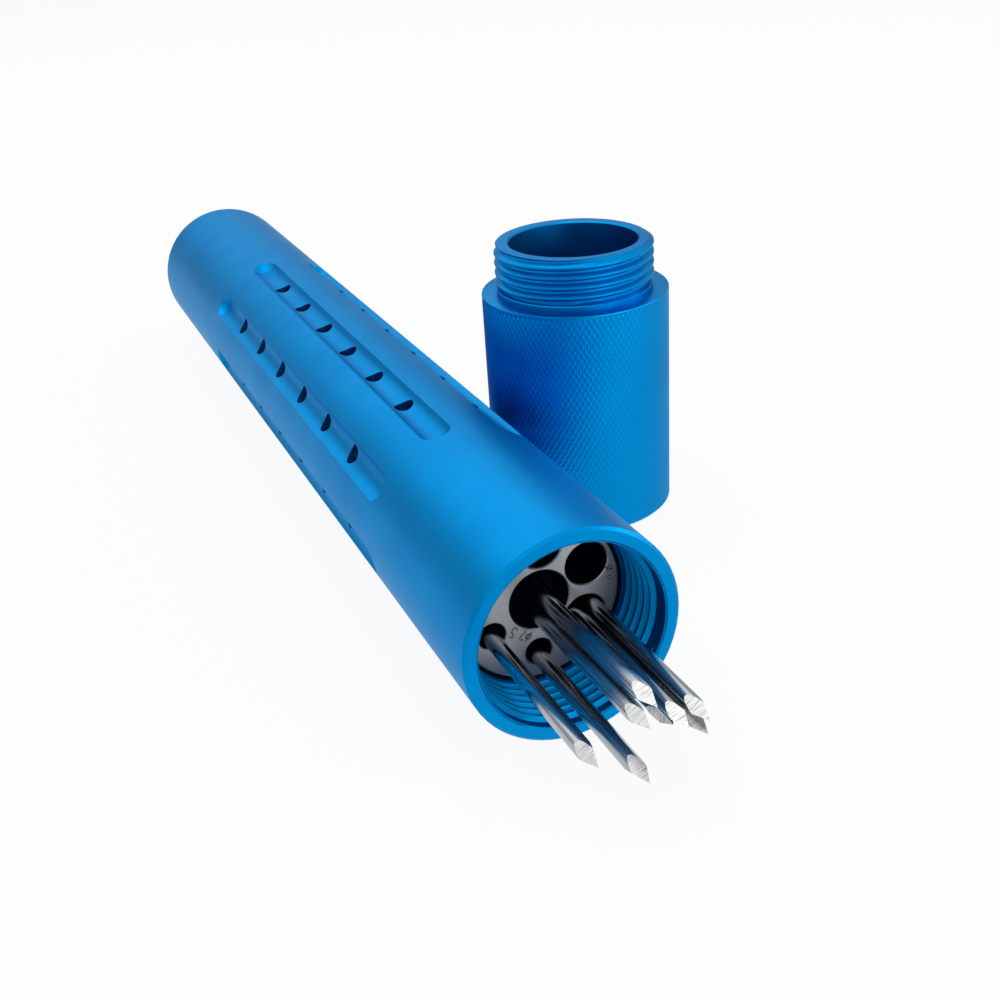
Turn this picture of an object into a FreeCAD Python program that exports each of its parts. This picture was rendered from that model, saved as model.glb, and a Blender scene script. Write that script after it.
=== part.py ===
import FreeCAD, Part
import math
import os

# Sterilization container for bone wires: a fluted, vented tube with a knurled screw cap standing
# beside it, and a slide-out rack of drilled plates that holds sharpened wires.
#
# Lengths are in millimetres. Pieces of the tube are drawn about the tube's own axis, which runs
# along +Y from the mouth (Y = 0) to the closed end. Clock angles turn from +X (right) to +Z (up).
# The cap is drawn about its own upright axis. Every piece is then moved to its place on the bench:
# the origin is the middle of the floor that the whole set covers.

Vec = FreeCAD.Vector

# Tube
TUBE_OD = 37.5
TUBE_LENGTH = 236.7
TUBE_WALL = 3.75
MOUTH_WALL = 2.45
MOUTH_DEPTH = 12.4
MOUTH_RELIEF_WIDTH = 1.0
MOUTH_RELIEF_DEPTH = 0.4
RIM_CHAMFER = 0.5
MOUTH_CHAMFER = 0.25
CLOSED_END_ROUND = 1.1

# Vented flutes, cut by a ball-nosed cutter
FLUTE_COUNT = 8
FLUTE_PHASE = 101.5
FLUTE_CUTTER_D = 7.5
FLUTE_DEPTH = 1.6
FLUTE_OVERRUN = 16.9
VENT_D = 3.8
VENT_COUNT = 6
VENT_PITCH = 17.35
FIRST_VENT = 63.3

# Plug that closes the far end
PLUG_THICKNESS = 2.5
PLUG_SHOULDER = 1.0
PLUG_CHAMFER = 0.4
PRESS_CLEARANCE = 0.02

# Cap
CAP_OD = 38.35
CAP_BODY_HEIGHT = 47.4
CAP_FLOOR = 4.0
CAP_FOOT_CHAMFER = 0.75
CAP_SHOULDER_CHAMFER = 0.4
NECK_HEIGHT = 10.1
NECK_WALL = 3.05
NECK_LIP_CHAMFER = 0.3
THREAD_DEPTH = 1.0
THREAD_LEAD_IN = 0.6
THREAD_CLEARANCE = 0.1
NECK_COLLAR_HEIGHT = 1.0
NECK_COLLAR_INSET = 0.2
NECK_RELIEF_HEIGHT = 1.9
CAP_ACROSS = 40.1
CAP_ALONG = 77.2

# Rack plates
PLATE_PLAY = 0.4
PLATE_CHAMFER = 0.3
FRONT_PLATE_INSET = 0.45
FRONT_PLATE_THICKNESS = 3.0
GUIDE_PLATE_THICKNESS = 1.5
STOP_PLATE_THICKNESS = 1.5
REAR_PLAY = 0.3
MIDDLE_PLATE_SHARE = 0.5
HOLE_CHAMFER = 0.2
HOLE_RING_PHASE = 26.4
RIM_LAND = 1.0
HOLE_LAND = 0.54
SMALL_HOLE_D = 4.7
DRAIN_HOLE_D = 2.0
DRAIN_RING_INSET = 8.5

# Standoffs and their screws
STANDOFF_D = 3.8
STANDOFF_COUNT = 3
STANDOFF_INSET = 2.4
STANDOFF_PHASE = 56.4
STUD_D = 2.5
STUD_CLEARANCE = 0.03
FRONT_STUD_LENGTH = 2.0
STUD_REACH = 3.0
BLIND_SPARE = 0.3
SOCKET_DEPTH = 6.0
SCREW_HEAD_D = 4.4
SCREW_LENGTH = 6.5
HEX_ACROSS_FLATS = 1.5
HEX_DEPTH = 0.7

# Wires
WIRE_D = 2.8
WIRE_PLAY = 0.3
WIRE_SPACING = 0.25
WIRE_LENGTH = 250.0
LONGEST_REACH = 24.65
POINT_LENGTH = 5.6
TAIL_CHAMFER = 0.3

TUBE_R = TUBE_OD / 2
BORE_R = TUBE_R - TUBE_WALL
MOUTH_R = TUBE_R - MOUTH_WALL
CAP_R = CAP_OD / 2
THREAD_R = MOUTH_R - THREAD_CLEARANCE
NECK_BORE_R = THREAD_R - NECK_WALL
PLATE_R = BORE_R - PLATE_PLAY
PLUG_R = BORE_R + PLUG_SHOULDER
CAP_HEIGHT = CAP_BODY_HEIGHT + NECK_HEIGHT
BUNDLE_R = (WIRE_D + WIRE_SPACING) / math.sqrt(2)
BIG_HOLE_D = 2 * (BUNDLE_R + WIRE_PLAY) + WIRE_D
HOLE_RING_R = PLATE_R - RIM_LAND - BIG_HOLE_D / 2
CENTRE_HOLE_D = 2 * (HOLE_RING_R - HOLE_LAND) - BIG_HOLE_D
DRAIN_RING_R = PLATE_R - DRAIN_RING_INSET
STANDOFF_RING_R = PLATE_R - STANDOFF_INSET
FRONT_PLATE_Y = MOUTH_DEPTH + FRONT_PLATE_INSET
STOP_PLATE_Y = TUBE_LENGTH - PLUG_THICKNESS - REAR_PLAY - STOP_PLATE_THICKNESS
MIDDLE_PLATE_Y = FRONT_PLATE_Y + MIDDLE_PLATE_SHARE * (STOP_PLATE_Y - FRONT_PLATE_Y)
RING_ANGLES = [HOLE_RING_PHASE + 60.0 * i for i in range(6)]
STANDOFF_ANGLES = [STANDOFF_PHASE + 360.0 / STANDOFF_COUNT * i for i in range(STANDOFF_COUNT)]


def on_circle(radius, angle, y=0.0):
    """A point at a clock angle round the tube's axis."""
    turn = math.radians(angle)
    return Vec(radius * math.cos(turn), y, radius * math.sin(turn))


# Guide holes by name: where each is on the plate, and its diameter
GUIDE_HOLES = {
    "centre": (Vec(0, 0, 0), CENTRE_HOLE_D),
    "upper_right": (on_circle(HOLE_RING_R, RING_ANGLES[0]), BIG_HOLE_D),
    "top": (on_circle(HOLE_RING_R, RING_ANGLES[1]), BIG_HOLE_D),
    "upper_left": (on_circle(HOLE_RING_R, RING_ANGLES[2]), SMALL_HOLE_D),
    "lower_left": (on_circle(HOLE_RING_R, RING_ANGLES[3]), SMALL_HOLE_D),
    "bottom": (on_circle(HOLE_RING_R, RING_ANGLES[4]), SMALL_HOLE_D),
    "lower_right": (on_circle(HOLE_RING_R, RING_ANGLES[5]), BIG_HOLE_D),
}

# Loose wires: the hole each one passes, where it lies in that hole of the front plate and of the
# middle plate (share of its free play, clock angle; for two wires side by side also the side, 1 or
# -1, and the clock angle from one to the other), the share of the longest wire's reach that its
# point has out of the mouth, and the clock angle of one ground facet
WIRES = {
    "wire_1": ("lower_left", (0.58, 186), (1, 209), 1, 125),
    "wire_2": ("bottom", (0.86, 241), (1, 140), 0.985, 105),
    "wire_3": ("centre", (0.17, 198, 1, 73), (0.98, 196, 1, 106), 0.947, 118),
    "wire_4": ("centre", (0.17, 198, -1, 73), (0.98, 196, -1, 106), 0.97, 125),
    "wire_5": ("lower_right", (1, 238), (1, 253), 0.726, 180),
    "wire_6": ("lower_right", (1, 149.5), (1, 163), 0.939, 110),
    "wire_7": ("lower_right", (1, 326), (1, 344), 0.92, 118),
    "wire_8": ("lower_right", (1, 55.5), (1, 74), 0.954, 123),
}

MIDDLE_X = (CAP_ACROSS + CAP_R - TUBE_R) / 2
MIDDLE_Y = (TUBE_LENGTH - LONGEST_REACH) / 2
TUBE_PLACE = Vec(-MIDDLE_X, -MIDDLE_Y, TUBE_R)
CAP_PLACE = Vec(CAP_ACROSS - MIDDLE_X, CAP_ALONG - MIDDLE_Y, 0)

ALONG = Vec(0, 1, 0)
UP = Vec(0, 0, 1)


def lathe(outline, axis):
    """A turned solid: outline is a list of (radius, height) points along the axis."""
    points = [Vec(radius, 0, 0) + axis * height for radius, height in outline]
    face = Part.Face(Part.makePolygon(points + points[:1]))
    return face.revolve(Vec(0, 0, 0), axis, 360)


def rod(radius, start, length):
    """A round bar along the tube, from a start point."""
    return Part.makeCylinder(radius, length, start, ALONG)


def drilled_hole(radius, at, thickness, chamfer=HOLE_CHAMFER):
    """Cutter for a through hole whose front and back edges are broken by a small chamfer."""
    outline = [
        (0, -chamfer), (radius + 2 * chamfer, -chamfer), (radius, chamfer),
        (radius, thickness - chamfer), (radius + 2 * chamfer, thickness + chamfer),
        (0, thickness + chamfer),
    ]
    return lathe(outline, ALONG).translated(at)


def tube_blank():
    """The turned tube: outer wall, mouth with its thread relief, bore and plug seat."""
    relief_r = MOUTH_R + MOUTH_RELIEF_DEPTH
    relief_start = MOUTH_DEPTH - MOUTH_RELIEF_WIDTH
    outline = [
        (MOUTH_R + MOUTH_CHAMFER, 0), (TUBE_R - RIM_CHAMFER, 0), (TUBE_R, RIM_CHAMFER),
        (TUBE_R, TUBE_LENGTH), (PLUG_R, TUBE_LENGTH), (PLUG_R, TUBE_LENGTH - PLUG_THICKNESS),
        (BORE_R, TUBE_LENGTH - PLUG_THICKNESS), (BORE_R, MOUTH_DEPTH), (relief_r, MOUTH_DEPTH),
        (relief_r, relief_start), (MOUTH_R, relief_start), (MOUTH_R, MOUTH_CHAMFER),
    ]
    blank = lathe(outline, ALONG)
    rim = [edge for edge in blank.Edges if is_circle_at(edge, TUBE_R, TUBE_LENGTH)]
    return blank.makeFillet(min(CLOSED_END_ROUND, (TUBE_R - PLUG_R) / 2), rim)


def is_circle_at(edge, radius, height):
    """True for a circular edge of this radius at this height along the tube."""
    curve = edge.Curve
    if not isinstance(curve, Part.Circle):
        return False
    return abs(curve.Radius - radius) < 1e-3 and abs(curve.Center.y - height) < 1e-3


def flute_cutter(angle):
    """The space that a ball-nosed cutter sweeps along one flute."""
    ball_r = FLUTE_CUTTER_D / 2
    centre_r = TUBE_R - FLUTE_DEPTH + ball_r
    start = on_circle(centre_r, angle, FIRST_VENT - FLUTE_OVERRUN)
    travel = (VENT_COUNT - 1) * VENT_PITCH + 2 * FLUTE_OVERRUN
    sweep = rod(ball_r, start, travel)
    near_end = Part.makeSphere(ball_r, start)
    far_end = Part.makeSphere(ball_r, start + ALONG * travel)
    return sweep.fuse([near_end, far_end])


def vent_drill(angle, station):
    """A radial drill through the tube's wall at a station from the mouth."""
    start_r = BORE_R - 2 * PLATE_PLAY
    foot = on_circle(start_r, angle, station)
    return Part.makeCylinder(VENT_D / 2, TUBE_R - start_r, foot, on_circle(1, angle))


def tube_body():
    """The tube with its vented flutes."""
    cutters = []
    for i in range(FLUTE_COUNT):
        angle = FLUTE_PHASE + 360.0 / FLUTE_COUNT * i
        cutters.append(flute_cutter(angle))
        cutters += [vent_drill(angle, FIRST_VENT + VENT_PITCH * n) for n in range(VENT_COUNT)]
    return tube_blank().cut(cutters)


def end_plug():
    """The disc pressed into the closed end, flush with the tube."""
    outline = [
        (0, TUBE_LENGTH - PLUG_THICKNESS), (PLUG_R - PRESS_CLEARANCE, TUBE_LENGTH - PLUG_THICKNESS),
        (PLUG_R - PRESS_CLEARANCE, TUBE_LENGTH - PLUG_CHAMFER),
        (PLUG_R - PRESS_CLEARANCE - PLUG_CHAMFER, TUBE_LENGTH), (0, TUBE_LENGTH),
    ]
    return lathe(outline, ALONG)


def cap_shell():
    """The cap upside down on its closed end, with its bored neck upward."""
    collar_r = THREAD_R - NECK_COLLAR_INSET
    collar_top = CAP_BODY_HEIGHT + NECK_COLLAR_HEIGHT
    relief_r = THREAD_R - THREAD_DEPTH
    thread_start = collar_top + NECK_RELIEF_HEIGHT
    outline = [
        (0, 0), (CAP_R - CAP_FOOT_CHAMFER, 0), (CAP_R, CAP_FOOT_CHAMFER),
        (CAP_R, CAP_BODY_HEIGHT - CAP_SHOULDER_CHAMFER),
        (CAP_R - CAP_SHOULDER_CHAMFER, CAP_BODY_HEIGHT), (collar_r, CAP_BODY_HEIGHT),
        (collar_r, collar_top), (relief_r, collar_top),
        (relief_r, thread_start), (THREAD_R, thread_start + THREAD_DEPTH / 2),
        (THREAD_R, CAP_HEIGHT - THREAD_LEAD_IN), (THREAD_R - THREAD_LEAD_IN, CAP_HEIGHT),
        (NECK_BORE_R + NECK_LIP_CHAMFER, CAP_HEIGHT), (NECK_BORE_R, CAP_HEIGHT - NECK_LIP_CHAMFER),
        (NECK_BORE_R, CAP_FLOOR), (0, CAP_FLOOR),
    ]
    return lathe(outline, UP)


def round_plate(y, thickness):
    """A plate that slides in the bore, with broken edges."""
    outline = [
        (0, y), (PLATE_R - PLATE_CHAMFER, y), (PLATE_R, y + PLATE_CHAMFER),
        (PLATE_R, y + thickness - PLATE_CHAMFER), (PLATE_R - PLATE_CHAMFER, y + thickness),
        (0, y + thickness),
    ]
    return lathe(outline, ALONG)


def guide_hole_cutters(y, thickness):
    """The seven holes that the wires pass, the same in both guide plates."""
    return [drilled_hole(size / 2, at + ALONG * y, thickness) for at, size in GUIDE_HOLES.values()]


def front_guide_plate():
    """The thick plate in view behind the mouth, with blind stud holes in its back."""
    depth = FRONT_STUD_LENGTH + BLIND_SPARE
    back = FRONT_PLATE_Y + FRONT_PLATE_THICKNESS
    cutters = guide_hole_cutters(FRONT_PLATE_Y, FRONT_PLATE_THICKNESS)
    for angle in STANDOFF_ANGLES:
        start = on_circle(STANDOFF_RING_R, angle, back - depth)
        cutters.append(rod(STUD_D / 2 + STUD_CLEARANCE, start, depth))
    return round_plate(FRONT_PLATE_Y, FRONT_PLATE_THICKNESS).cut(cutters)


def middle_guide_plate():
    """The thin plate half way down, clamped between the two rows of standoffs."""
    cutters = guide_hole_cutters(MIDDLE_PLATE_Y, GUIDE_PLATE_THICKNESS)
    for angle in STANDOFF_ANGLES:
        start = on_circle(STANDOFF_RING_R, angle, MIDDLE_PLATE_Y)
        cutters.append(rod(STUD_D / 2 + STUD_CLEARANCE, start, GUIDE_PLATE_THICKNESS))
    return round_plate(MIDDLE_PLATE_Y, GUIDE_PLATE_THICKNESS).cut(cutters)


def countersunk(radius, head_r, back, length):
    """A countersunk bar that ends at the back face: the screw's form, or its hole."""
    head = head_r - radius
    outline = [(0, back), (head_r, back), (radius, back - head), (radius, back - length), (0, back - length)]
    return lathe(outline, ALONG)


def rear_stop_plate():
    """The plate that the wires' tails stop against, with drain holes too small for a wire."""
    back = STOP_PLATE_Y + STOP_PLATE_THICKNESS
    drain_r = DRAIN_HOLE_D / 2
    cutters = [drilled_hole(drain_r, Vec(0, STOP_PLATE_Y, 0), STOP_PLATE_THICKNESS)]
    for angle in RING_ANGLES:
        at = on_circle(DRAIN_RING_R, angle, STOP_PLATE_Y)
        cutters.append(drilled_hole(drain_r, at, STOP_PLATE_THICKNESS))
    for angle in STANDOFF_ANGLES:
        hole = countersunk(STUD_D / 2 + STUD_CLEARANCE, SCREW_HEAD_D / 2 + STUD_CLEARANCE,
                           back, STOP_PLATE_THICKNESS)
        cutters.append(hole.translated(on_circle(STANDOFF_RING_R, angle)))
    return round_plate(STOP_PLATE_Y, STOP_PLATE_THICKNESS).cut(cutters)


def standoff(angle, start_y, end_y, stud_length):
    """A round spacer with a stud in front and a socket behind."""
    stud_r = STUD_D / 2
    socket_r = stud_r + STUD_CLEARANCE
    outline = [
        (0, start_y - stud_length), (stud_r, start_y - stud_length), (stud_r, start_y),
        (STANDOFF_D / 2, start_y), (STANDOFF_D / 2, end_y), (socket_r, end_y),
        (socket_r, end_y - SOCKET_DEPTH), (0, end_y - SOCKET_DEPTH),
    ]
    return lathe(outline, ALONG).translated(on_circle(STANDOFF_RING_R, angle))


def front_standoff(angle):
    """A spacer from the front plate to the middle plate."""
    return standoff(angle, FRONT_PLATE_Y + FRONT_PLATE_THICKNESS, MIDDLE_PLATE_Y, FRONT_STUD_LENGTH)


def rear_standoff(angle):
    """A spacer from the middle plate to the stop plate; its stud joins it to the front one."""
    start = MIDDLE_PLATE_Y + GUIDE_PLATE_THICKNESS
    return standoff(angle, start, STOP_PLATE_Y, GUIDE_PLATE_THICKNESS + STUD_REACH)


def stop_plate_screws():
    """The countersunk screws behind the stop plate, one solid each."""
    back = STOP_PLATE_Y + STOP_PLATE_THICKNESS
    corners = [on_circle(HEX_ACROSS_FLATS / math.sqrt(3), 60 * i, back - HEX_DEPTH) for i in range(6)]
    socket = Part.Face(Part.makePolygon(corners + corners[:1])).extrude(ALONG * HEX_DEPTH)
    screw = countersunk(STUD_D / 2, SCREW_HEAD_D / 2, back, SCREW_LENGTH).cut(socket)
    return Part.makeCompound([screw.translated(on_circle(STANDOFF_RING_R, a)) for a in STANDOFF_ANGLES])


def straight_wire():
    """One wire stood upright on its tail, with a three-sided ground point on top."""
    radius = WIRE_D / 2
    outline = [
        (0, 0), (radius - TAIL_CHAMFER, 0), (radius, TAIL_CHAMFER), (radius, WIRE_LENGTH),
        (0, WIRE_LENGTH),
    ]
    slope = math.degrees(math.atan2(radius, POINT_LENGTH))
    facets = []
    for turn in (0, 120, 240):
        block = Part.makeBox(2 * WIRE_D, 4 * WIRE_D, 4 * POINT_LENGTH, Vec(0, -2 * WIRE_D, -3 * POINT_LENGTH))
        block.rotate(Vec(0, 0, 0), Vec(0, 1, 0), -slope)
        block.rotate(Vec(0, 0, 0), UP, turn)
        facets.append(block.translated(UP * WIRE_LENGTH))
    return lathe(outline, UP).cut(facets)


def lie_in_hole(hole, y, share, clock, side=0, pair_clock=0):
    """Where a wire's axis lies in a guide hole, between its centre and its rim."""
    centre, size = GUIDE_HOLES[hole]
    free_play = (size - WIRE_D) / 2 - WIRE_PLAY
    half_gap = side * (WIRE_D + WIRE_SPACING) / 2
    room = math.sqrt(free_play ** 2 - half_gap ** 2)
    return centre + on_circle(share * room, clock, y) + on_circle(half_gap, pair_clock)


def wire_line(hole, front_lie, middle_lie):
    """Where a wire's axis crosses the front plate's face, and its direction out of the mouth."""
    front = lie_in_hole(hole, FRONT_PLATE_Y, *front_lie)
    middle = lie_in_hole(hole, MIDDLE_PLATE_Y, *middle_lie)
    return front, (front - middle).normalize()


def loose_wire(hole, front_lie, middle_lie, reach_share, facet_angle):
    """A wire laid in the rack, with its point out of the mouth and one facet at a clock angle."""
    front, outward = wire_line(hole, front_lie, middle_lie)
    reach = reach_share * LONGEST_REACH
    point = front + outward * ((FRONT_PLATE_Y + reach) / -outward.y)
    wire = straight_wire()
    wire.rotate(Vec(0, 0, 0), UP, facet_angle)
    turn = FreeCAD.Rotation(Vec(1, 0, 0), Vec(0, 0, 0), outward, "ZXY")
    wire.Placement = FreeCAD.Placement(point - outward * WIRE_LENGTH, turn).multiply(wire.Placement)
    return wire


def save(shape, name, place):
    """Write one piece at its place on the bench."""
    shape.translated(place).exportStep("parts/" + name + ".step")


def main():
    """Build and write every piece."""
    os.makedirs("parts", exist_ok=True)
    save(tube_body(), "tube_body", TUBE_PLACE)
    save(end_plug(), "end_plug", TUBE_PLACE)
    save(cap_shell(), "cap_shell", CAP_PLACE)
    save(front_guide_plate(), "front_guide_plate", TUBE_PLACE)
    save(middle_guide_plate(), "middle_guide_plate", TUBE_PLACE)
    save(rear_stop_plate(), "rear_stop_plate", TUBE_PLACE)
    for number, angle in enumerate(STANDOFF_ANGLES, start=1):
        save(front_standoff(angle), f"front_standoff_{number}", TUBE_PLACE)
        save(rear_standoff(angle), f"rear_standoff_{number}", TUBE_PLACE)
    save(stop_plate_screws(), "stop_plate_screws", TUBE_PLACE)
    for name, wire in WIRES.items():
        save(loose_wire(*wire), name, TUBE_PLACE)


main()
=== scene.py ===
"""Looks of the sterilization container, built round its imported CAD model.

The container is a fluted tube of blue anodised aluminium with a thread in its mouth, a knurled
screw cap of the same finish that stands beside it on its closed end, and a steel rack inside whose
drilled plates hold sharpened wires. Everything is in metres, in the CAD's own frame.
"""

import logging
import math
from dataclasses import dataclass, field
from enum import Enum

import bmesh
import bpy
import numpy as np
from mathutils import Matrix, Vector


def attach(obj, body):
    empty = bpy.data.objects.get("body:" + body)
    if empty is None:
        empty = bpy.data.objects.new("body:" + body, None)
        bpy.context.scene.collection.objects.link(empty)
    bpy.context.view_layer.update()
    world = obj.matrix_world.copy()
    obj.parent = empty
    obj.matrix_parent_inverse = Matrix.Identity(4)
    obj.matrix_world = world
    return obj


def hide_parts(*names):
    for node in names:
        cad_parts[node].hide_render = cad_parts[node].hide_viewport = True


LOG = logging.getLogger("container_looks")

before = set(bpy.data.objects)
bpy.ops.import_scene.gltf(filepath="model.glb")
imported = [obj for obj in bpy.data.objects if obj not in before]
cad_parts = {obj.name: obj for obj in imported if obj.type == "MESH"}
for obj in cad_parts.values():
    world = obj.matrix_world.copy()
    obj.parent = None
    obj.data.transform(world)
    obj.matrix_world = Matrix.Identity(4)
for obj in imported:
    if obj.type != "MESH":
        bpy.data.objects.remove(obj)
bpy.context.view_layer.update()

MM = 0.001
# points closer than this are one point
WELD_DISTANCE = 0.001 * MM
# a rounded edge of radius 1 passes this far inside the corner's two sides
ROUND_MIDDLE = 0.3


class Slot(Enum):
    """Names of material slots for new pieces; nothing in the script uses them."""

    TUBE = "tube_blue"
    CAP = "cap_blue"
    PLATE = "plate_steel"


class Body(Enum):
    """The bodies that new pieces ride on."""

    CANISTER = "canister"
    CAP = "cap"
    RACK = "rack"


# ---------------------------------------------------------------------------------------------
# Small helpers for shaders and meshes
# ---------------------------------------------------------------------------------------------


def linear(hex_colour: str) -> tuple[float, float, float, float]:
    """Turn an sRGB hex colour into a linear one.

    Args:
        hex_colour: six hex digits after a hash sign.

    Returns:
        Red, green, blue and alpha, linear.
    """
    parts = [int(hex_colour[i:i + 2], 16) / 255 for i in (1, 3, 5)]
    red, green, blue = [p / 12.92 if p <= 0.04045 else ((p + 0.055) / 1.055) ** 2.4 for p in parts]
    return red, green, blue, 1.0


def add_node(
    tree: bpy.types.NodeTree,
    kind: str,
    settings: dict | None = None,
    inputs: dict | None = None,
    links: dict | None = None,
) -> bpy.types.Node:
    """Add a shader node with its settings, values and incoming links.

    Args:
        tree: the node tree that gets it.
        kind: the node's Blender type name.
        settings: attribute values.
        inputs: values for input sockets, by name or index.
        links: output sockets to join to input sockets, by name or index.

    Returns:
        The new node.
    """
    node = tree.nodes.new(kind)
    for name, value in (settings or {}).items():
        setattr(node, name, value)
    for key, value in (inputs or {}).items():
        node.inputs[key].default_value = value
    for key, socket in (links or {}).items():
        tree.links.new(socket, node.inputs[key])
    return node


def empty_material(name: str) -> tuple[bpy.types.Material, bpy.types.NodeTree]:
    """A new material with an empty node tree.

    Args:
        name: the finish's name.

    Returns:
        The material and its tree.
    """
    material = bpy.data.materials.new(name)
    material.use_nodes = True
    material.node_tree.nodes.clear()
    return material, material.node_tree


def grain_noise(
    tree: bpy.types.NodeTree, size_mm: tuple[float, float, float], detail: float, roughness: float
) -> bpy.types.NodeSocket:
    """A noise texture whose grains have a real size.

    Args:
        tree: the tree that gets the nodes.
        size_mm: the grain's length along X, Y and Z.
        detail: how many finer layers lie over the first one.
        roughness: how strong the finer layers are.

    Returns:
        The noise's value.
    """
    coordinates = add_node(tree, "ShaderNodeTexCoord")
    mapping = add_node(
        tree, "ShaderNodeMapping", inputs={"Scale": tuple(1.0 / (size * MM) for size in size_mm)},
        links={"Vector": coordinates.outputs["Object"]},
    )
    node = add_node(
        tree, "ShaderNodeTexNoise", inputs={"Scale": 1.0, "Detail": detail, "Roughness": roughness},
        links={"Vector": mapping.outputs["Vector"]},
    )
    return node.outputs[0]


def remap(
    tree: bpy.types.NodeTree,
    value: bpy.types.NodeSocket,
    low: float,
    high: float,
    start: float = 0.3,
    end: float = 0.7,
) -> bpy.types.NodeSocket:
    """Spread a texture's middle range over low to high.

    Args:
        tree: the tree that gets the node.
        value: the texture's value.
        low: the result at start.
        high: the result at end.
        start: the texture's value that gives low.
        end: the texture's value that gives high.

    Returns:
        The remapped value.
    """
    node = add_node(
        tree, "ShaderNodeMapRange",
        inputs={"From Min": start, "From Max": end, "To Min": low, "To Max": high},
        links={"Value": value},
    )
    return node.outputs["Result"]


def mix_colours(
    tree: bpy.types.NodeTree, share: bpy.types.NodeSocket, first: str, second: str
) -> bpy.types.NodeSocket:
    """Blend two hex colours by a share.

    Args:
        tree: the tree that gets the node.
        share: 0 for the first colour, 1 for the second.
        first: hex colour.
        second: hex colour.

    Returns:
        The blended colour.
    """
    node = add_node(
        tree, "ShaderNodeMix", settings={"data_type": "RGBA"},
        inputs={6: linear(first), 7: linear(second)}, links={0: share},
    )
    return node.outputs[2]


def relief(
    tree: bpy.types.NodeTree, texture: bpy.types.NodeSocket, height_mm: float
) -> bpy.types.NodeSocket:
    """Turn a texture into relief of a real height.

    Args:
        tree: the tree that gets the node.
        texture: the texture's value.
        height_mm: the relief's full height.

    Returns:
        The bent normal.
    """
    node = add_node(
        tree, "ShaderNodeBump", inputs={"Strength": 1.0, "Distance": height_mm * MM},
        links={"Height": texture},
    )
    return node.outputs[0]


def add_surface(tree: bpy.types.NodeTree, inputs: dict, links: dict) -> None:
    """End a material with its surface shader and its output.

    Args:
        tree: the material's tree.
        inputs: the shader's uniform values.
        links: the sockets that its other inputs follow.
    """
    surface = add_node(tree, "ShaderNodeBsdfPrincipled", inputs=inputs, links=links)
    add_node(tree, "ShaderNodeOutputMaterial", links={"Surface": surface.outputs[0]})


# ---------------------------------------------------------------------------------------------
# Finishes
# ---------------------------------------------------------------------------------------------


@dataclass(frozen=True)
class AnodisedAluminium:
    """Aluminium, bead blasted and then anodised and dyed.

    The blasting leaves a fine even dimple, so reflections of the room spread into soft bands; the
    dyed oxide colours the metal's own reflection, and it pales only where it is seen edge-on.
    """

    name: str
    colour: str
    deep_colour: str
    roughness: float = 0.42
    roughness_spread: float = 0.015
    # the dye keeps slanting reflections blue, and lets a little white in near the outline
    edge_colour: str = "#CFE3F0"
    # the blasted dimple is some 0.05 mm wide; drawn at 0.22 mm, so that it shows at this size
    dimple_mm: float = 0.22
    dimple_height_mm: float = 0.006
    # the dye takes a little unevenly, in clouds this wide
    cloud_mm: float = 14.0

    def material(self) -> bpy.types.Material:
        """Build the node material."""
        material, tree = empty_material(self.name)
        dimples = grain_noise(tree, (self.dimple_mm,) * 3, detail=2.0, roughness=0.6)
        clouds = grain_noise(tree, (self.cloud_mm,) * 3, detail=3.0, roughness=0.55)
        share = remap(tree, clouds, low=0.0, high=1.0)
        low, high = self.roughness - self.roughness_spread, self.roughness + self.roughness_spread
        links = {
            "Base Color": mix_colours(tree, share, self.colour, self.deep_colour),
            "Roughness": remap(tree, clouds, low, high),
            "Normal": relief(tree, dimples, self.dimple_height_mm),
        }
        add_surface(tree, {"Metallic": 1.0, "Specular Tint": linear(self.edge_colour)}, links)
        return material


@dataclass(frozen=True)
class WorkedSteel:
    """Stainless steel with the lines that its last machining left.

    The grain's length along each axis gives the lines their direction: even for a blasted plate,
    long for a drawn wire, short along and wide round for a turned rod. The real lines are 0.05 to
    0.1 mm wide; they are drawn two to four times as wide, so that they show at this size.
    """

    name: str
    colour: str
    shade: str
    roughness: float
    roughness_spread: float
    grain_mm: tuple[float, float, float]
    grain_height_mm: float
    stain_mm: float = 5.0

    def material(self) -> bpy.types.Material:
        """Build the node material."""
        material, tree = empty_material(self.name)
        grain = grain_noise(tree, self.grain_mm, detail=3.0, roughness=0.6)
        stain = grain_noise(tree, (self.stain_mm,) * 3, detail=4.0, roughness=0.6)
        # half of the shade follows the grain and half the stains
        both = add_node(
            tree, "ShaderNodeMath", settings={"operation": "MULTIPLY_ADD"}, inputs={1: 0.5},
            links={0: grain, 2: remap(tree, stain, low=0.0, high=0.5)},
        )
        low, high = self.roughness - self.roughness_spread, self.roughness + self.roughness_spread
        links = {
            "Base Color": mix_colours(tree, both.outputs[0], self.colour, self.shade),
            "Roughness": remap(tree, grain, low, high),
            "Normal": relief(tree, grain, self.grain_height_mm),
        }
        add_surface(tree, {"Metallic": 1.0}, links)
        return material


@dataclass(frozen=True)
class GroundSteel:
    """Steel just off the grinding wheel: fine parallel scratches across each facet, and bright."""

    name: str
    colour: str
    scratch_colour: str
    roughness: float = 0.36
    # the wheel's scratches are some 0.05 mm apart; drawn at 0.3 mm, so that they show
    scratch_mm: float = 0.3
    scratch_length_mm: float = 3.0
    scratch_height_mm: float = 0.012

    def material(self) -> bpy.types.Material:
        """Build the node material."""
        material, tree = empty_material(self.name)
        grain = (self.scratch_length_mm, self.scratch_mm, self.scratch_length_mm)
        scratches = grain_noise(tree, grain, detail=2.0, roughness=0.7)
        share = remap(tree, scratches, low=0.0, high=1.0, start=0.45, end=0.75)
        links = {
            "Base Color": mix_colours(tree, share, self.colour, self.scratch_colour),
            "Normal": relief(tree, scratches, self.scratch_height_mm),
        }
        add_surface(tree, {"Metallic": 1.0, "Roughness": self.roughness}, links)
        return material


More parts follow.
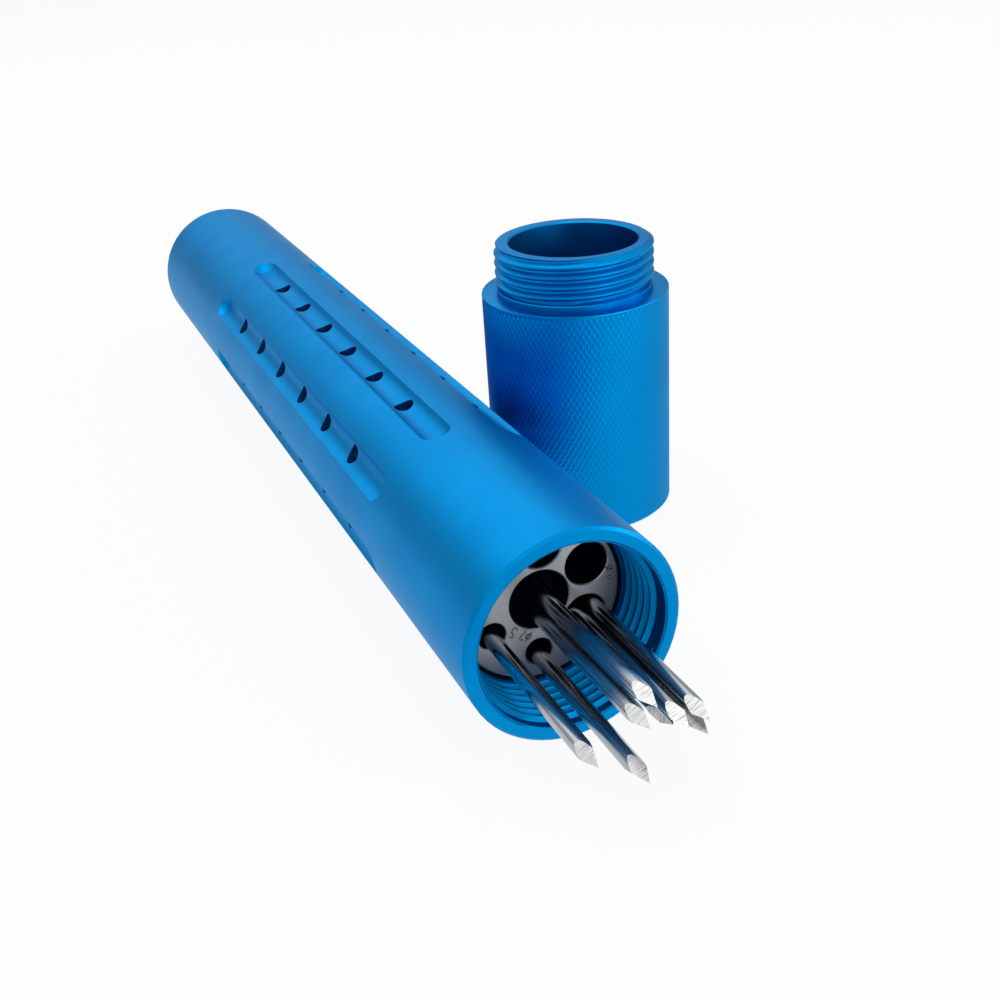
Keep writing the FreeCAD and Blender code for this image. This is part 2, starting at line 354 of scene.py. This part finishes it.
@dataclass(frozen=True)
class EtchedMark:
    """A black etched mark on steel: dull, slightly broken up by the steel's grain."""

    name: str = "etched_black_mark"
    colour: str = "#2F3638"
    worn_colour: str = "#6A7173"
    roughness: float = 0.6
    speck_mm: float = 0.12

    def material(self) -> bpy.types.Material:
        """Build the node material."""
        material, tree = empty_material(self.name)
        specks = grain_noise(tree, (self.speck_mm,) * 3, detail=2.0, roughness=0.5)
        share = remap(tree, specks, low=0.0, high=1.0, start=0.45, end=0.8)
        colour = mix_colours(tree, share, self.colour, self.worn_colour)
        add_surface(tree, {"Metallic": 0.0, "Roughness": self.roughness}, {"Base Color": colour})
        return material


# a clear blue that runs from light to deep round the tube in broad soft bands
BLUE_TUBE = AnodisedAluminium("blue_anodised_tube", colour="#0089CD", deep_colour="#0082C5")
# the same dye a shade deeper and glossier, so that the knurl's flats and the crests catch light
BLUE_CAP = AnodisedAluminium(
    "blue_anodised_cap", colour="#0085C9", deep_colour="#007EC1", roughness=0.37
)
# an even pale grey without direction, which sets off the dark holes
BLASTED_PLATE = WorkedSteel(
    "blasted_steel_plate", colour="#B4B6B8", shade="#A0A2A4", roughness=0.4,
    roughness_spread=0.05, grain_mm=(0.3, 0.3, 0.3), grain_height_mm=0.006,
)
# fine rings round each rod, which break its reflections into short dashes
TURNED_ROD = WorkedSteel(
    "turned_steel_rod", colour="#B9BABB", shade="#9FA0A2", roughness=0.24,
    roughness_spread=0.06, grain_mm=(1.5, 0.18, 1.5), grain_height_mm=0.004,
)
# a shade darker than the plate, so that the sunk heads stand out
SCREW_HEAD = WorkedSteel(
    "turned_steel_screw", colour="#A6A7A8", shade="#8C8D8F", roughness=0.3,
    roughness_spread=0.06, grain_mm=(0.4, 0.12, 0.4), grain_height_mm=0.004,
)
# long clear reflections: the blue of the mouth, the white of the room and dark lines between them
DRAWN_WIRE = WorkedSteel(
    "polished_drawn_wire", colour="#B4B9BE", shade="#A0A6AC", roughness=0.19,
    roughness_spread=0.03, grain_mm=(0.3, 30.0, 0.3), grain_height_mm=0.0006,
)
# painted shade: the drilled walls get a near-black steel colour for the shade that they lie in,
# so that the holes read as nearly black; the fine lines are the boring's own
BORE_PAINTED_SHADE = WorkedSteel(
    "bored_wall_painted_shade", colour="#3C4044", shade="#2A2D31", roughness=0.45,
    roughness_spread=0.05, grain_mm=(0.6, 0.12, 0.6), grain_height_mm=0.004,
)
# bright facets with grinding lines, the lightest spots on the object
GROUND_POINT = GroundSteel("ground_steel_point", colour="#CBCCCC", scratch_colour="#7E8183")


# ---------------------------------------------------------------------------------------------
# Mesh building
# ---------------------------------------------------------------------------------------------


@dataclass
class SurfaceNet:
    """Points and faces gathered strip by strip, then joined into one clean mesh."""

    points: list[np.ndarray] = field(default_factory=list)
    faces: list[tuple[int, ...]] = field(default_factory=list)
    count: int = 0

    def add_points(self, points: np.ndarray) -> int:
        """Add points.

        Args:
            points: rows of x, y and z in millimetres.

        Returns:
            The number of the first one.
        """
        first = self.count
        self.points.append(np.asarray(points, float))
        self.count += len(points)
        return first

    def add_ring_strip(self, lower: np.ndarray, upper: np.ndarray) -> None:
        """Join two closed rings of equal length with quads.

        Args:
            lower: the first ring's points.
            upper: the second ring's points.
        """
        size = len(lower)
        low, high = self.add_points(lower), self.add_points(upper)
        for i in range(size):
            after = (i + 1) % size
            self.faces.append((low + i, low + after, high + after, high + i))

    def add_fan(self, ring: np.ndarray, centre: np.ndarray) -> None:
        """Close a ring with triangles to a centre point.

        Args:
            ring: the ring's points.
            centre: the point that they meet in.
        """
        first, hub = self.add_points(ring), self.add_points([centre])
        size = len(ring)
        self.faces += [(first + i, first + (i + 1) % size, hub) for i in range(size)]

    def make_object(self, name: str, sharp_angle: float) -> bpy.types.Object:
        """Weld the strips and make the object.

        Args:
            name: the piece's name.
            sharp_angle: edges that fold more than this many degrees stay crisp.

        Returns:
            The new object, at the origin.
        """
        mesh = bpy.data.meshes.new(name)
        mesh.from_pydata([tuple(p) for p in np.vstack(self.points) * MM], [], self.faces)
        body = bmesh.new()
        body.from_mesh(mesh)
        bmesh.ops.remove_doubles(body, verts=body.verts, dist=WELD_DISTANCE)
        bmesh.ops.dissolve_degenerate(body, edges=body.edges, dist=WELD_DISTANCE)
        bmesh.ops.recalc_face_normals(body, faces=body.faces)
        for face in body.faces:
            face.smooth = True
        body.to_mesh(mesh)
        body.free()
        mesh.set_sharp_from_angle(angle=math.radians(sharp_angle))
        made = bpy.data.objects.new(name, mesh)
        bpy.context.scene.collection.objects.link(made)
        return made


@dataclass(frozen=True)
class ThreadForm:
    """A sixty-degree thread, given by its crest line and its outline over one pitch.

    Lengths are in millimetres. The climb is the crest line's rise along the axis over one turn, and
    each corner's points are given along the axis and down the flank, in corner radii.
    """

    pitch: float
    crest_r: float
    root_r: float
    crest_flat: float
    corner: float
    climb: float
    crest_at_zero: float
    flank_degrees: float = 30.0
    crest_corner: tuple[tuple[float, float], ...] = ((-1.0, 0.0), (0.1, 0.22), (0.8, 1.1))
    root_corner: tuple[tuple[float, float], ...] = ((-1.0, -1.4), (0.5, 0.0))
    spare_pitches: int = 2

    def outline(self) -> tuple[np.ndarray, np.ndarray]:
        """The outline from one root to the next: distances from the crest line, and radii."""
        depth, soft = abs(self.root_r - self.crest_r), self.corner
        edge = self.crest_flat / 2
        foot = edge + depth * math.tan(math.radians(self.flank_degrees))
        half = [(edge + along * soft, down * soft) for along, down in self.crest_corner]
        half += [(foot + along * soft, depth + down * soft) for along, down in self.root_corner]
        side = math.copysign(1, self.root_r - self.crest_r)
        away = [(d, self.crest_r + side * drop) for d, drop in half]
        both = [(-d, r) for d, r in reversed(away)] + away
        return np.array([d for d, _ in both]), np.array([r for _, r in both])

    def from_crest(self, turns: np.ndarray, along: np.ndarray) -> np.ndarray:
        """Distances along the axis from the nearest crest line."""
        distance = along - self.crest_at_zero - self.climb * turns
        return (distance + self.pitch / 2) % self.pitch - self.pitch / 2

    def radius(self, distance: np.ndarray) -> np.ndarray:
        """The thread's radius at distances along the axis from its nearest crest line."""
        places, radii = self.outline()
        places = np.concatenate([places - self.pitch, places, places + self.pitch])
        return np.interp(distance, places, np.tile(radii, 3))

    def grid(self, turns: np.ndarray, start: float, end: float) -> tuple[np.ndarray, int]:
        """Rows that follow the helix, cut off square at both ends.

        Args:
            turns: the columns' angles as shares of a turn.
            start: where the surface starts along the axis.
            end: where it ends.

        Returns:
            Places along the axis, one row per thread row and one column per angle, and the number
            of rows by which the last column meets the first.
        """
        places, _ = self.outline()
        count = len(places)
        first = math.floor((start - self.crest_at_zero) / self.pitch) - self.spare_pitches
        last = math.ceil((end - self.crest_at_zero) / self.pitch) + self.spare_pitches
        crests = [self.crest_at_zero + k * self.pitch for k in range(first, last + 1)]
        rows = np.concatenate([crest + places for crest in crests])
        along = np.clip(rows[:, None] + self.climb * turns[None, :], start, end)
        return along, count if self.climb > 0 else -count


def helix_strip(net: SurfaceNet, points: np.ndarray, shift: int) -> None:
    """Add a grid whose last column meets its first some rows further on.

    Args:
        net: the net that gets it.
        points: rows by columns by three.
        shift: how many rows the grid moves on in one turn.
    """
    rows, columns, _ = points.shape
    first = net.add_points(points.reshape(-1, 3))
    for j in range(rows - 1):
        for i in range(columns):
            if i + 1 < columns:
                low, high = j, j + 1
            else:
                low, high = (min(max(j + shift + step, 0), rows - 1) for step in (0, 1))
            after = (i + 1) % columns
            net.faces.append(
                (first + j * columns + i, first + low * columns + after,
                 first + high * columns + after, first + (j + 1) * columns + i)
            )


def dress(node: str, *materials: bpy.types.Material) -> bpy.types.Object:
    """Give a CAD node its finish.

    Args:
        node: the node's name.
        materials: its materials, the main one first.

    Returns:
        The node's object.
    """
    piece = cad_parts[node]
    piece.data.materials.clear()
    for material in materials:
        piece.data.materials.append(material)
    LOG.info("dressed %s", node)
    return piece


def settle(piece: bpy.types.Object, body: Body, material: bpy.types.Material) -> None:
    """Give a new piece its finish and the body that it rides on.

    Args:
        piece: the new object.
        body: the body that carries it.
        material: its material.
    """
    piece.data.materials.append(material)
    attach(piece, body.value)
    LOG.info("made %s with %d faces", piece.name, len(piece.data.polygons))


# ---------------------------------------------------------------------------------------------
# The sub-assemblies
# ---------------------------------------------------------------------------------------------


@dataclass
class Canister:
    """The tube: its CAD wall and plug, and the screw thread cut inside its mouth.

    Lengths are in millimetres; the thread's run from the mouth plane.
    """

    axis_x: float = -20.2625
    axis_z: float = 18.75
    mouth_y: float = -106.025
    sleeve_r: float = 16.6
    start: float = 0.26
    end: float = 12.38
    # no crest is cut nearer to the mouth than the first depth; from the second on it is full
    first_crest: float = 1.95
    full_crest: float = 2.2
    columns: int = 192
    sharp_angle: float = 35.0
    # a crest line lies 2.225 mm behind the mouth plane at 288 degrees
    thread: ThreadForm = ThreadForm(
        pitch=2.0, crest_r=15.35, root_r=16.2, crest_flat=0.35, corner=0.07,
        climb=-2.0, crest_at_zero=2.225 + 2.0 * 288 / 360,
    )

    def entry_limit(self, crest_depth: np.ndarray) -> np.ndarray:
        """The least radius where the nearest crest lies this deep: the thread's soft start."""
        radii = [self.thread.root_r, self.thread.crest_r]
        return np.interp(crest_depth, [self.first_crest, self.full_crest], radii)

    def place(self, turns: np.ndarray, radius: np.ndarray, along: np.ndarray) -> np.ndarray:
        """Points at shares of a turn, radii and depths from the mouth."""
        angle = 2 * math.pi * turns
        x, y, z = np.broadcast_arrays(
            self.axis_x + radius * np.cos(angle),
            self.mouth_y + along,
            self.axis_z + radius * np.sin(angle),
        )
        return np.stack([x, y, z], -1)

    def mouth_thread(self) -> bpy.types.Object:
        """The internal thread, as a thin sleeve whose back is sunk in the tube's wall."""
        net = SurfaceNet()
        turns = np.arange(self.columns) / self.columns
        along, shift = self.thread.grid(turns, self.start, self.end)
        from_crest = self.thread.from_crest(turns[None, :], along)
        radius = np.maximum(self.thread.radius(from_crest), self.entry_limit(along - from_crest))
        inner = self.place(turns[None, :], radius, along)
        helix_strip(net, inner, shift)
        back = np.full(self.columns, self.sleeve_r)
        outer = [self.place(turns, back, np.full(self.columns, y)) for y in (self.start, self.end)]
        net.add_ring_strip(inner[0], outer[0])
        net.add_ring_strip(outer[0], outer[1])
        net.add_ring_strip(outer[1], inner[-1])
        return net.make_object("mouth_thread", self.sharp_angle)

    def build(self) -> None:
        """Dress the tube and its plug, and cut the thread."""
        blue = BLUE_TUBE.material()
        dress("tube_body", blue)
        dress("end_plug", blue)
        settle(self.mouth_thread(), Body.CANISTER, blue)


@dataclass
class ScrewCap:
    """The cap: a diamond-knurled body and a bored, threaded neck, as one closed mesh.

    Lengths are in millimetres, heights from the closed end that the cap stands on.
    """

    centre_x: float = 19.8375
    centre_y: float = -28.825
    radius: float = 19.175
    foot_chamfer: float = 0.75
    body_height: float = 47.4
    shoulder_chamfer: float = 0.25
    diamonds: int = 105
    half_rows: int = 47
    groove_depth: float = 0.09
    flat_share: float = 0.4
    plain_band: float = 0.2
    collar_r: float = 16.0
    collar_top: float = 48.4
    collar_round: float = 0.15
    relief_top: float = 48.7
    height: float = 57.5
    lip_r: float = 15.65
    lip_start: float = 56.95
    bore_r: float = 13.15
    bore_chamfer: float = 0.3
    floor: float = 4.0
    floor_round: float = 0.6
    neck_run_in: float = 0.6
    # plain rings that keep the long quads of the foot, the floor and the bore in shape
    face_rings: tuple[float, float] = (6.0, 12.0)
    bore_rings: tuple[float, float, float] = (44.0, 30.0, 16.0)
    sharp_angle: float = 28.0
    # a crest line lies 56.05 mm high at 243.8 degrees
    thread: ThreadForm = ThreadForm(
        pitch=2.0, crest_r=16.2, root_r=15.2, crest_flat=0.35, corner=0.08,
        climb=2.0, crest_at_zero=56.05 - 2.0 * 243.8 / 360,
    )

    def place(self, turns: np.ndarray, radius: np.ndarray, height: np.ndarray) -> np.ndarray:
        """Points at shares of a turn, radii and heights."""
        angle = 2 * math.pi * turns
        x, y, z = np.broadcast_arrays(
            self.centre_x + radius * np.cos(angle), self.centre_y + radius * np.sin(angle), height
        )
        return np.stack([x, y, z], -1)

    def columns(self, row: int) -> np.ndarray:
        """A row's points as shares of a turn: each diamond's groove and its flat's two ends."""
        start = 0.5 if row % 2 else 0.0
        steps = np.array([0.0, 0.5 - self.flat_share / 2, 0.5 + self.flat_share / 2])
        diamond = np.arange(self.diamonds)[:, None]
        return ((diamond + steps[None, :] + start) / self.diamonds).ravel()

    def ring(self, row: int, radius: float, height: float) -> np.ndarray:
        """A plain ring whose points match a knurl row's."""
        turns = self.columns(row)
        return self.place(turns, np.full(len(turns), radius), np.full(len(turns), height))

    def knurl_ring(self, row: int) -> np.ndarray:
        """The first or last knurl row, where the diamonds are cut through their middle."""
        turns = self.columns(row)
        radius = np.tile([self.radius - self.groove_depth, self.radius, self.radius], self.diamonds)
        return self.place(turns, radius, np.full(len(turns), self.row_height(row)))

    def row_height(self, row: int) -> float:
        """The height of a knurl row."""
        low, high = self.foot_chamfer, self.body_height - self.shoulder_chamfer - self.plain_band
        return low + (high - low) * row / self.half_rows

    def add_knurl(self, net: SurfaceNet) -> None:
        """Add the diamonds between their crossed grooves.

        Args:
            net: the net that gets them.
        """
        step = self.row_height(1) - self.row_height(0)
        valley_r = self.radius - self.groove_depth
        half_flat = self.flat_share / 2
        for row in range(self.half_rows + 1):
            shift = 0.5 if row % 2 else 0.0
            middle = (np.arange(self.diamonds) + 0.5 + shift) / self.diamonds
            height = self.row_height(row)
            # each spot's place across in diamonds and up in rows, and its radius
            spots = {
                "left": (-0.5, 0, valley_r),
                "right": (0.5, 0, valley_r),
                "below": (0, -1, valley_r),
                "above": (0, 1, valley_r),
                "flat_left": (-half_flat, 0, self.radius),
                "flat_right": (half_flat, 0, self.radius),
                "flat_below": (0, -self.flat_share, self.radius),
                "flat_above": (0, self.flat_share, self.radius),
            }
            first = {}
            for name, (across, up, radius) in spots.items():
                if (row == 0 and "below" in name) or (row == self.half_rows and "above" in name):
                    continue
                radii = np.full(self.diamonds, radius)
                heights = np.full(self.diamonds, height + up * step)
                points = self.place(middle + across / self.diamonds, radii, heights)
                first[name] = net.add_points(points)
            patches = []
            if row > 0:
                patches += [
                    ("below", "right", "flat_right", "flat_below"),
                    ("left", "below", "flat_below", "flat_left"),
                ]
            if row < self.half_rows:
                patches += [
                    ("right", "above", "flat_above", "flat_right"),
                    ("above", "left", "flat_left", "flat_above"),
                ]
            if row == 0:
                patches.append(("flat_left", "flat_right", "flat_above"))
            elif row == self.half_rows:
                patches.append(("flat_left", "flat_below", "flat_right"))
            else:
                patches.append(("flat_below", "flat_right", "flat_above", "flat_left"))
            for patch in patches:
                starts = [first[name] for name in patch]
                net.faces += [tuple(start + i for start in starts) for i in range(self.diamonds)]

    def neck_limit(self, height: np.ndarray) -> np.ndarray:
        """The most radius at a height: the relief, the thread's run-in, and the lip's chamfer."""
        low, high = self.thread.root_r, self.thread.crest_r
        run_in = self.relief_top + self.neck_run_in
        heights = [self.relief_top, run_in, self.lip_start, self.height]
        return np.interp(height, heights, [low, high, high, self.lip_r])

    def shell(self) -> bpy.types.Object:
        """The whole cap as one closed mesh."""
        net = SurfaceNet()
        last = self.half_rows
        foot = [self.ring(0, r, 0.0) for r in (*self.face_rings, self.radius - self.foot_chamfer)]
        net.add_fan(foot[0], [self.centre_x, self.centre_y, 0.0])
        for inner, outer in zip(foot, foot[1:] + [self.knurl_ring(0)]):
            net.add_ring_strip(inner, outer)
        self.add_knurl(net)
        turns = self.columns(last)
        heights, shift = self.thread.grid(turns, self.collar_top, self.height)
        radius = self.thread.radius(self.thread.from_crest(turns[None, :], heights))
        neck = self.place(turns[None, :], np.minimum(radius, self.neck_limit(heights)), heights)
        edge = ROUND_MIDDLE * self.shoulder_chamfer
        # radii and heights from the knurl's last row up to the neck
        shoulder = [
            (self.radius, self.row_height(last) + self.groove_depth),
            (self.radius, self.body_height - self.shoulder_chamfer),
            (self.radius - edge, self.body_height - edge),
            (self.radius - self.shoulder_chamfer, self.body_height),
            (self.collar_r, self.body_height),
            (self.collar_r, self.collar_top - self.collar_round),
            (self.collar_r - self.collar_round, self.collar_top),
        ]
        rings = [self.knurl_ring(last), *(self.ring(last, r, z) for r, z in shoulder), neck[0]]
        for lower, upper in zip(rings, rings[1:]):
            net.add_ring_strip(lower, upper)
        helix_strip(net, neck, shift)
        bore, corner = self.bore_r, ROUND_MIDDLE * self.floor_round
        # radii and heights from the lip down the bore and in over its floor
        hollow = [
            (bore + self.bore_chamfer, self.height),
            (bore, self.height - self.bore_chamfer),
            *((bore, z) for z in self.bore_rings),
            (bore, self.floor + self.floor_round),
            (bore - corner, self.floor + corner),
            (bore - self.floor_round, self.floor),
            (self.face_rings[0], self.floor),
        ]
        inside = [neck[-1], *(self.ring(last, r, z) for r, z in hollow)]
        for upper, lower in zip(inside, inside[1:]):
            net.add_ring_strip(upper, lower)
        net.add_fan(inside[-1], [self.centre_x, self.centre_y, self.floor])
        return net.make_object("knurled_cap", self.sharp_angle)

    def build(self) -> None:
        """Make the cap in place of its plain CAD node."""
        cap = self.shell()
        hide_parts("cap_shell")
        settle(cap, Body.CAP, BLUE_CAP.material())


@dataclass
class PlateMark:
    """A hole's size etched on the front plate, as strokes in the plate's plane.

    A stroke is a list of (right, up) points in millimetres from the tube's axis.
    """

    name: str
    strokes: list[list[tuple[float, float]]]
    width: float = 0.25


def ring_of_points(x: float, z: float, radius: float, count: int = 20) -> list[tuple[float, float]]:
    """A closed round stroke.

    Args:
        x: its centre, right of the tube's axis.
        z: its centre, above the tube's axis.
        radius: its radius.
        count: how many points it has.

    Returns:
        The stroke's points, with the first one again at the end.
    """
    angles = [2 * math.pi * i / count for i in range(count + 1)]
    return [(x + radius * math.cos(angle), z + radius * math.sin(angle)) for angle in angles]


@dataclass
class Rack:
    """The slide-out rack: three plates, their standoffs and screws, and the etched hole sizes.

    Lengths are in millimetres. A plate's face is a hole's wall if it lies nearer to the axis than
    the plates' rim, and its normal leans less than wall_normal along the axis. The hole walls get a
    near-black painted shade.
    """

    axis_x: float = -20.2625
    axis_z: float = 18.75
    face_y: float = -93.175
    edge_r: float = 14.3
    wall_normal: float = 0.3
    sharp_angle: float = 30.0
    mark_height: float = 0.012
    mark_sink: float = 0.01
    marks: list[PlateMark] = field(default_factory=lambda: [
        PlateMark("small_hole_size_mark", [
            ring_of_points(-2.36, -6.32, 0.46),
            [(-1.66, -5.56), (-3.02, -6.98)],
            [(-3.35, -6.48), (-3.62, -6.7), (-3.94, -6.42), (-3.9, -6.08), (-3.5, -5.68),
             (-2.68, -5.2), (-3.18, -4.86)],
            [(-3.55, -4.68), (-3.47, -4.6)],
            [(-5.75, -5.28), (-5.25, -5.68), (-4.98, -5.1), (-5.2, -4.9), (-5.3, -4.6),
             (-5.08, -4.12), (-4.66, -3.9), (-4.32, -4.1), (-4.35, -4.55)],
        ]),
        PlateMark("large_hole_size_mark", [
            ring_of_points(12.82, 2.32, 0.46),
            [(12.1, 2.6), (13.5, 1.9)],
            [(12.15, 0.85), (13.2, 0.8)],
            [(12.4, 0.3), (13.15, 0.28)],
        ], 0.2),
    ])

    def mark(self, mark: PlateMark) -> bpy.types.Object:
        """Raise a mark's strokes as thin ribbons.

        Args:
            mark: the mark.

        Returns:
            One object that holds all its strokes.
        """
        net = SurfaceNet()
        front, back = self.face_y - self.mark_height, self.face_y + self.mark_sink
        for stroke in mark.strokes:
            line = np.array(stroke, float)
            closed = np.allclose(line[0], line[-1])
            if closed:
                line = line[:-1]
                forward = np.roll(line, -1, 0) - np.roll(line, 1, 0)
            else:
                forward = np.gradient(line, axis=0)
            forward /= np.linalg.norm(forward, axis=1)[:, None]
            side = np.stack([-forward[:, 1], forward[:, 0]], 1) * mark.width / 2
            left, right = line + side, line - side
            rails = [
                np.stack([self.axis_x + p[:, 0], np.full(len(p), y), self.axis_z + p[:, 1]], 1)
                for p, y in ((left, back), (left, front), (right, front), (right, back))
            ]
            firsts = [net.add_points(rail) for rail in rails]
            size = len(line)
            for i in range(size if closed else size - 1):
                after = (i + 1) % size
                for a, b in zip(firsts, firsts[1:] + firsts[:1]):
                    net.faces.append((a + i, a + after, b + after, b + i))
            if not closed:
                net.faces += [tuple(firsts), tuple(f + size - 1 for f in reversed(firsts))]
        return net.make_object(mark.name, self.sharp_angle)

    def build(self) -> None:
        """Dress the rack's CAD nodes and etch the marks."""
        plate = BLASTED_PLATE.material()
        # near-black steel for the hole walls: painted shade, not the steel's own colour
        bored = BORE_PAINTED_SHADE.material()
        for node in ("front_guide_plate", "middle_guide_plate", "rear_stop_plate"):
            for face in dress(node, plate, bored).data.polygons:
                across, up = face.center.x / MM - self.axis_x, face.center.z / MM - self.axis_z
                # the holes' walls take the near-black painted shade
                if abs(face.normal.y) < self.wall_normal and math.hypot(across, up) < self.edge_r:
                    face.material_index = 1
        rod = TURNED_ROD.material()
        for number in (1, 2, 3):
            dress(f"front_standoff_{number}", rod)
            dress(f"rear_standoff_{number}", rod)
        dress("stop_plate_screws", SCREW_HEAD.material())
        black = EtchedMark().material()
        for mark in self.marks:
            settle(self.mark(mark), Body.RACK, black)


@dataclass
class LooseWires:
    """The eight sharpened wires: polished shafts, and points ground to three facets.

    A face is a facet if its normal leans towards the mouth by a share between facet_lean's two.
    """

    count: int = 8
    facet_lean: tuple[float, float] = (0.12, 0.6)

    def build(self) -> None:
        """Dress the wires, with the ground finish on the facets of their points."""
        polished, ground = DRAWN_WIRE.material(), GROUND_POINT.material()
        low, high = self.facet_lean
        for number in range(1, self.count + 1):
            piece = dress(f"wire_{number}", polished, ground)
            for face in piece.data.polygons:
                face.material_index = 1 if low < -face.normal.y < high else 0


# ---------------------------------------------------------------------------------------------
# Studio
# ---------------------------------------------------------------------------------------------


@dataclass(frozen=True)
class SoftLamp:
    """A rectangular soft lamp that looks at a point; lengths in metres, power in watts."""

    name: str
    place: tuple[float, float, float]
    target: tuple[float, float, float]
    size: tuple[float, float]
    power: float

    def hang(self) -> None:
        """Add the lamp to the scene."""
        data = bpy.data.lights.new(self.name, "AREA")
        data.shape = "RECTANGLE"
        data.size, data.size_y = self.size
        data.energy = self.power
        lamp = bpy.data.objects.new(self.name, data)
        lamp.location = self.place
        aim = Vector(self.target) - Vector(self.place)
        lamp.rotation_mode = "QUATERNION"
        lamp.rotation_quaternion = aim.to_track_quat("-Z", "Y")
        bpy.context.scene.collection.objects.link(lamp)


@dataclass
class Studio:
    """The plain white studio: camera, floor, surroundings and soft lamps; lengths in metres.

    Reflections show a grey wall low down, which keeps the blue deep on the tube's sides, and white
    overhead. The camera sees white everywhere.
    """

    camera_place: tuple[float, float, float] = (-0.09138, -0.25474, 0.12655)
    look: tuple[float, float, float] = (0.3349, 0.8274, -0.4509)
    right: tuple[float, float, float] = (0.92695, -0.37519, 0.0)
    roll: float = -0.0694
    lens_mm: float = 45.60
    sensor_mm: float = 36.0
    near_clip: float = 0.01
    low_wall: str = "#A8A8A8"
    ceiling: str = "#FFFFFF"
    # the wall turns to ceiling between these two heights, sines of an angle above the horizon
    wall_band: tuple[float, float] = (0.1, 0.55)
    # the room's strength where it lights dull surfaces, and where it is seen or mirrored
    room_light: float = 0.5
    room_seen: float = 1.0
    floor_size: float = 6.0
    floor_drop: float = 0.0001
    floor_paper: str = "#F4F4F4"
    floor_glow: str = "#FFFFFF"
    floor_glow_share: float = 0.92
    lamps: list[SoftLamp] = field(default_factory=lambda: [
        SoftLamp("top_back_lamp", (-0.05, 0.85, 0.9), (0.0, 0.0, 0.02), (1.3, 1.0), 2.3),
        SoftLamp("right_lamp", (1.1, -0.45, 0.4), (0.0, -0.02, 0.02), (0.7, 0.5), 3.5),
        SoftLamp("low_front_lamp", (0.4, -1.2, 0.22), (0.0, -0.1, 0.02), (1.0, 0.4), 4.5),
        SoftLamp("overhead_lamp", (-0.25, -0.05, 1.1), (0.0, -0.05, 0.0), (1.1, 0.9), 3.2),
    ])

    def camera(self) -> None:
        """Stand the camera where the photograph was taken."""
        data = bpy.data.cameras.new("camera")
        data.lens, data.sensor_width = self.lens_mm, self.sensor_mm
        data.clip_start = self.near_clip
        camera = bpy.data.objects.new("camera", data)
        look, right = Vector(self.look).normalized(), Vector(self.right).normalized()
        up = right.cross(look)
        across = math.cos(self.roll) * right + math.sin(self.roll) * up
        upward = -math.sin(self.roll) * right + math.cos(self.roll) * up
        turn = Matrix((across, upward, -look)).transposed().to_4x4()
        camera.matrix_world = Matrix.Translation(self.camera_place) @ turn
        bpy.context.scene.collection.objects.link(camera)
        bpy.context.scene.camera = camera

    def surroundings(self) -> None:
        """White to the camera, grey and white to reflections, and dimmer to dull surfaces."""
        world = bpy.data.worlds.new("white_room")
        world.use_nodes = True
        tree = world.node_tree
        tree.nodes.clear()
        path = add_node(tree, "ShaderNodeLightPath")
        mirrored = add_node(
            tree, "ShaderNodeMath", settings={"operation": "ADD"},
            links={0: path.outputs["Is Glossy Ray"], 1: path.outputs["Is Transmission Ray"]},
        )
        seen = add_node(
            tree, "ShaderNodeMath", settings={"operation": "ADD", "use_clamp": True},
            links={0: path.outputs["Is Camera Ray"], 1: mirrored.outputs[0]},
        )
        strength = remap(tree, seen.outputs[0], self.room_light, self.room_seen, start=0.0, end=1.0)
        direction = add_node(tree, "ShaderNodeTexCoord")
        height = add_node(tree, "ShaderNodeSeparateXYZ", links={0: direction.outputs["Generated"]})
        raised = remap(tree, height.outputs[2], 0.0, 1.0, *self.wall_band)
        white_share = add_node(
            tree, "ShaderNodeMath", settings={"operation": "MAXIMUM"},
            links={0: raised, 1: path.outputs["Is Camera Ray"]},
        )
        colour = mix_colours(tree, white_share.outputs[0], self.low_wall, self.ceiling)
        background = add_node(
            tree, "ShaderNodeBackground", links={"Color": colour, "Strength": strength}
        )
        add_node(tree, "ShaderNodeOutputWorld", links={"Surface": background.outputs[0]})
        bpy.context.scene.world = world

    def floor(self) -> None:
        """A white floor that glows enough to read as white and still takes a soft shadow."""
        material, tree = empty_material("white_floor")
        paper = add_node(tree, "ShaderNodeBsdfDiffuse", inputs={"Color": linear(self.floor_paper)})
        glow = add_node(
            tree, "ShaderNodeEmission", inputs={"Color": linear(self.floor_glow), "Strength": 1.0}
        )
        both = add_node(
            tree, "ShaderNodeMixShader", inputs={0: self.floor_glow_share},
            links={1: paper.outputs[0], 2: glow.outputs[0]},
        )
        add_node(tree, "ShaderNodeOutputMaterial", links={"Surface": both.outputs[0]})
        half = self.floor_size / 2
        mesh = bpy.data.meshes.new("floor")
        corners = [(-half, -half), (half, -half), (half, half), (-half, half)]
        mesh.from_pydata([(x, y, -self.floor_drop) for x, y in corners], [], [(0, 1, 2, 3)])
        floor = bpy.data.objects.new("floor", mesh)
        mesh.materials.append(material)
        bpy.context.scene.collection.objects.link(floor)

    def build(self) -> None:
        """Set up the whole studio."""
        bpy.context.scene.view_settings.view_transform = "Standard"
        self.camera()
        self.surroundings()
        self.floor()
        for lamp in self.lamps:
            lamp.hang()
        LOG.info("studio ready")


def main() -> None:
    """Build every sub-assembly and the studio."""
    logging.basicConfig(level=logging.INFO, format="%(name)s: %(message)s")
    for assembly in (Canister(), ScrewCap(), Rack(), LooseWires(), Studio()):
        assembly.build()


if __name__ == "__main__":
    main()
